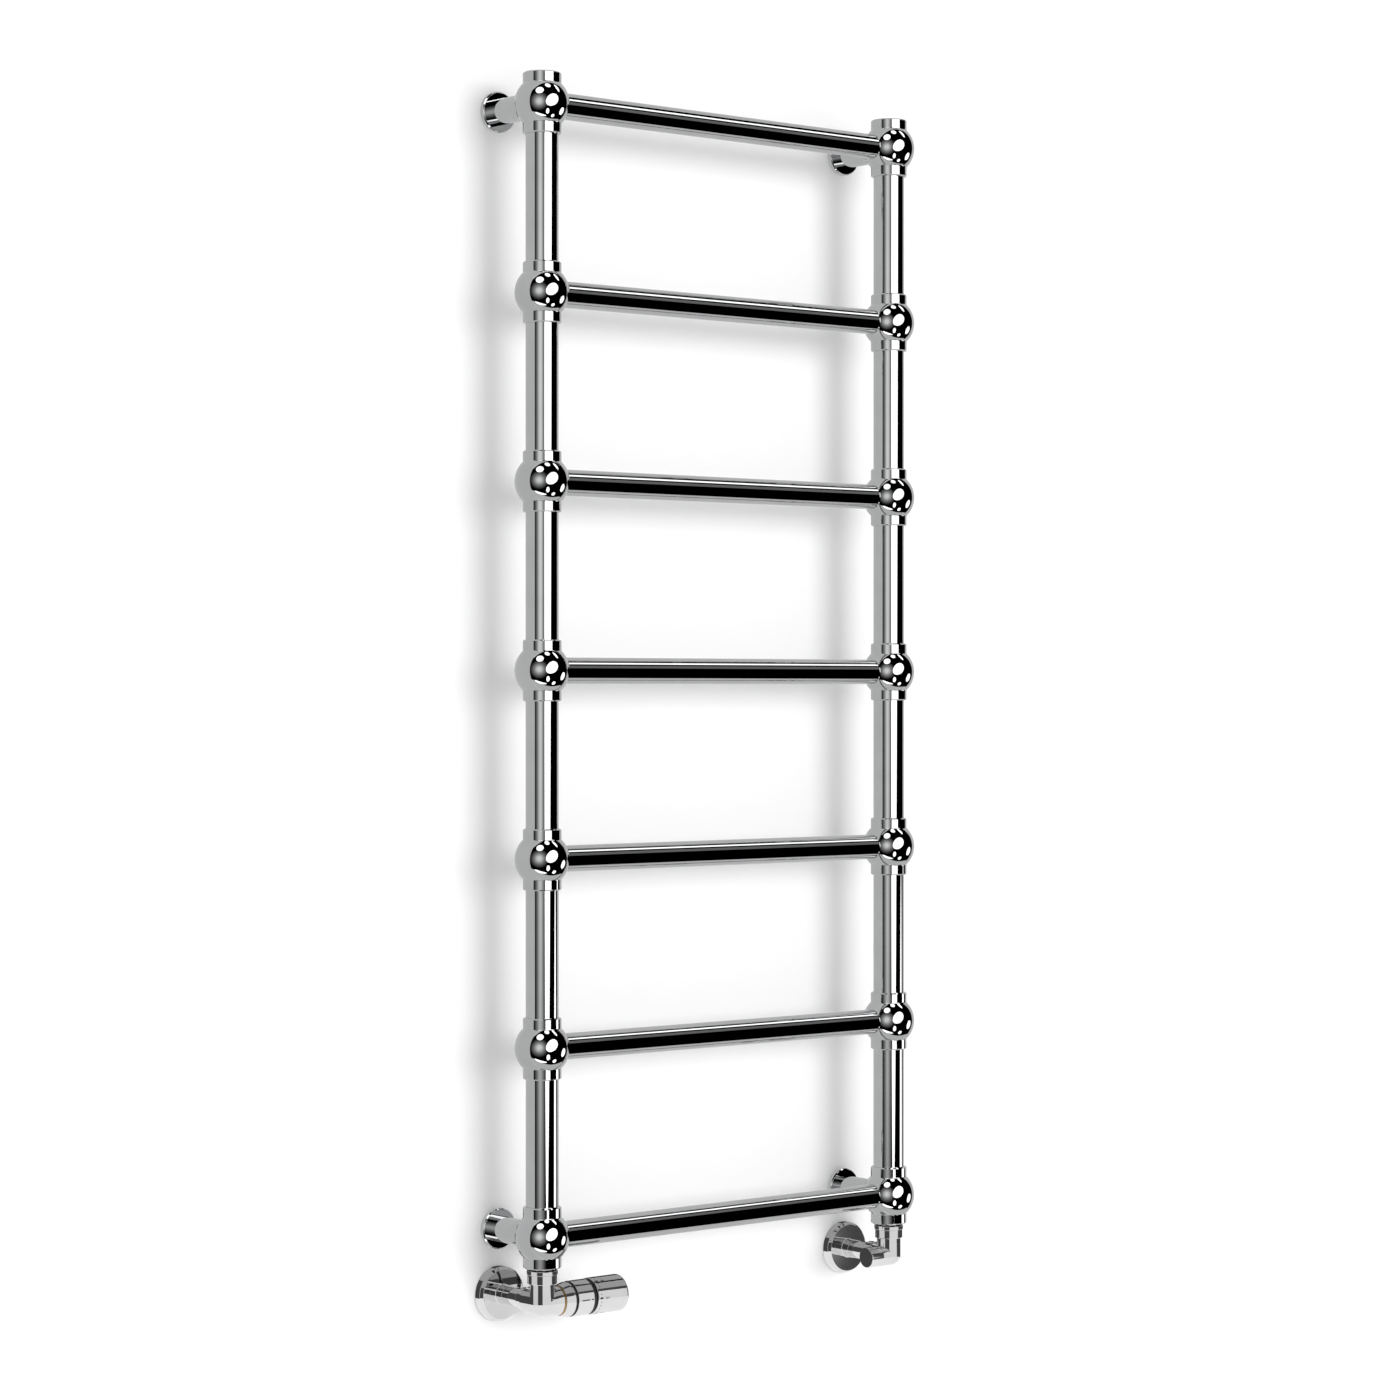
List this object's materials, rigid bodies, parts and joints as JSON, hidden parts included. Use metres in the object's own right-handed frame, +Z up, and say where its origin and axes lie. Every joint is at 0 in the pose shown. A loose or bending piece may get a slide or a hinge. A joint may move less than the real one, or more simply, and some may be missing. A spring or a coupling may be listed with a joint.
{
  "type": "towel radiator",
  "caption": "Wall-hung ladder towel radiator with ball joints at every rail, a numbered thermostatic corner valve and a capped lockshield valve.",
  "frame": {"origin": "on the wall plane, midway between the four wall brackets", "axes": "+X to the right as seen from the room, +Y into the wall, +Z up"},
  "size_m": [0.5586, 0.1093, 1.3313],
  "materials": {
    "chrome": "polished",
    "steel": "satin",
    "brass": "turned",
    "black_plastic": "matt"
  },
  "bodies": {
    "frame": {"upright_left": "chrome", "ball_joint_left_1": "chrome", "ball_joint_left_2": "chrome", "ball_joint_left_3": "chrome", "ball_joint_left_4": "chrome", "ball_joint_left_5": "chrome", "ball_joint_left_6": "chrome", "ball_joint_left_7": "chrome", "upright_right": "chrome", "ball_joint_right_1": "chrome", "ball_joint_right_2": "chrome", "ball_joint_right_3": "chrome", "ball_joint_right_4": "chrome", "ball_joint_right_5": "chrome", "ball_joint_right_6": "chrome", "ball_joint_right_7": "chrome", "rail_1": "chrome", "rail_2": "chrome", "rail_3": "chrome", "rail_4": "chrome", "rail_5": "chrome", "rail_6": "chrome", "rail_7": "chrome", "bracket_arm_top_left": "chrome", "wall_flange_top_left": "chrome", "bracket_arm_top_right": "chrome", "wall_flange_top_right": "chrome", "bracket_arm_bottom_left": "chrome", "wall_flange_bottom_left": "chrome", "bracket_arm_bottom_right": "chrome", "wall_flange_bottom_right": "chrome", "top_plug_left": "chrome", "top_plug_right": "chrome", "trv_body": "chrome", "trv_union_nut": "chrome", "trv_inlet_nut": "chrome", "trv_pipe_sleeve": "chrome", "trv_wall_rose": "chrome", "lockshield_body": "chrome", "lockshield_union_nut": "chrome", "lockshield_inlet_nut": "chrome", "lockshield_pipe_sleeve": "chrome", "lockshield_wall_rose": "chrome", "trv_locking_ring": "chrome", "trv_pointer_sleeve": "chrome", "wall_spigot_top_left": "steel", "wall_spigot_top_right": "steel", "wall_spigot_bottom_left": "steel", "wall_spigot_bottom_right": "steel", "trv_tailpiece": "chrome", "lockshield_tailpiece": "chrome", "trv_insert": "brass", "lockshield_bonnet": "brass", "trv_head_housing": "black_plastic"},
    "trv_dial": {"trv_dial": "chrome"},
    "trv_stem": {"trv_valve_pin": "steel", "trv_sensor": "steel"},
    "lockshield_cap": {"lockshield_cap": "chrome"},
    "lockshield_spindle": {"lockshield_spindle": "brass"},
    "bleed_screw": {"bleed_screw": "chrome"}
  },
  "joints": [
    {"name": "dial_turn", "type": "hinge", "parent": "frame", "child": "trv_dial", "pos_m": [-0.25, -0.08, -0.6695], "axis": [1, 0, 0], "range_deg": [-180, 120]},
    {"name": "valve_pin_lift", "type": "slide", "parent": "frame", "child": "trv_stem", "axis": [1, 0, 0], "range_m": [-0.0015, 0.001]},
    {"name": "lockshield_cap_pull", "type": "slide", "parent": "frame", "child": "lockshield_cap", "axis": [-1, 0, 0], "range_m": [0, 0.018]},
    {"name": "lockshield_spindle_turn", "type": "hinge", "parent": "frame", "child": "lockshield_spindle", "pos_m": [0.25, -0.08, -0.6695], "axis": [-1, 0, 0], "range_deg": [-360, 360]},
    {"name": "bleed_screw_turn", "type": "hinge", "parent": "frame", "child": "bleed_screw", "pos_m": [-0.25, -0.08, 0.6], "axis": [0, 0, 1], "range_deg": [0, 360]}
  ],
  "couplings": [
    {"joint": "valve_pin_lift", "follows": "dial_turn", "m_per_rad": 0.000477}
  ]
}
